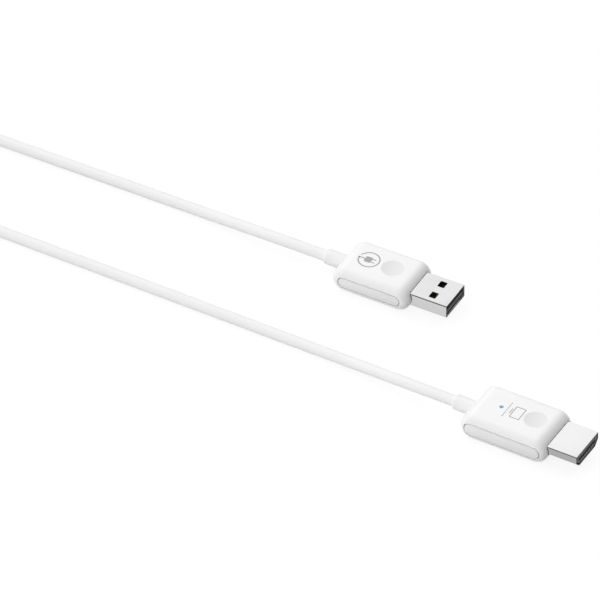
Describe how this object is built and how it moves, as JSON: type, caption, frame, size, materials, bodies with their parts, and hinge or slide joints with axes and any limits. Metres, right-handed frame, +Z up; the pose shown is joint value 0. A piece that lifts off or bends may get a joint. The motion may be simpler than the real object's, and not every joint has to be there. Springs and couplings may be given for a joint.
{
  "type": "wireless display receiver",
  "caption": "Small white wireless display receiver with a video plug at its front and a short captive power lead that ends in a flat power plug.",
  "frame": {"origin": "on the floor under the middle of the receiver, from its video plug's tip to its cord boot's end", "axes": "+X out of the video plug, +Y across the housing, +Z up from the flat underside"},
  "size_m": [0.2654, 0.0593, 0.0091],
  "materials": {
    "white_plastic": "glossy white moulded plastic",
    "grey_plastic": "satin pale grey strip",
    "plug_metal": "bright nickel-plated sheet steel",
    "black_insulator": "black insulator",
    "contact_nickel": "dull nickel-plated contact springs",
    "contact_gold": "gold-plated contacts",
    "boot_rubber": "soft white strain relief",
    "lead_jacket": "soft white cable jacket",
    "inner_mould": "white inner moulding",
    "board_green": "green solder mask",
    "chip_resin": "black resin",
    "shield_metal": "tinned can",
    "coil_ferrite": "ferrite",
    "capacitor_ceramic": "ceramic",
    "lamp_lens": "blue status lamp",
    "wire_red": "wire insulation",
    "wire_black": "wire insulation"
  },
  "bodies": {
    "root": {"capacitor_1": "capacitor_ceramic", "capacitor_2": "capacitor_ceramic", "capacitor_3": "capacitor_ceramic", "clock_crystal": "shield_metal", "light_pipe": "lamp_lens", "main_board": "board_green", "memory_chip": "chip_resin", "power_base_plate": "white_plastic", "power_contact_1": "contact_gold", "power_contact_2": "contact_gold", "power_contact_3": "contact_gold", "power_contact_4": "contact_gold", "power_contact_block": "black_insulator", "power_cord_boot": "boot_rubber", "power_housing": "white_plastic", "power_inlay_far": "grey_plastic", "power_inlay_near": "grey_plastic", "power_inner_mould": "inner_mould", "power_lead": "lead_jacket", "power_plug_sleeve": "plug_metal", "processor_chip": "chip_resin", "radio_can": "shield_metal", "receiver_base_plate": "white_plastic", "receiver_cord_boot": "boot_rubber", "receiver_housing": "white_plastic", "receiver_inlay_far": "grey_plastic", "receiver_inlay_near": "grey_plastic", "status_led": "lamp_lens", "supply_coil": "coil_ferrite", "supply_wire_negative": "wire_black", "supply_wire_positive": "wire_red", "video_contact_01": "contact_nickel", "video_contact_02": "contact_nickel", "video_contact_03": "contact_nickel", "video_contact_04": "contact_nickel", "video_contact_05": "contact_nickel", "video_contact_06": "contact_nickel", "video_contact_07": "contact_nickel", "video_contact_08": "contact_nickel", "video_contact_09": "contact_nickel", "video_contact_10": "contact_nickel", "video_contact_11": "contact_nickel", "video_contact_12": "contact_nickel", "video_contact_13": "contact_nickel", "video_contact_14": "contact_nickel", "video_contact_15": "contact_nickel", "video_contact_16": "contact_nickel", "video_contact_17": "contact_nickel", "video_contact_18": "contact_nickel", "video_contact_19": "contact_nickel", "video_contact_block": "black_insulator", "video_plug_sleeve": "plug_metal"}
  },
  "joints": []
}
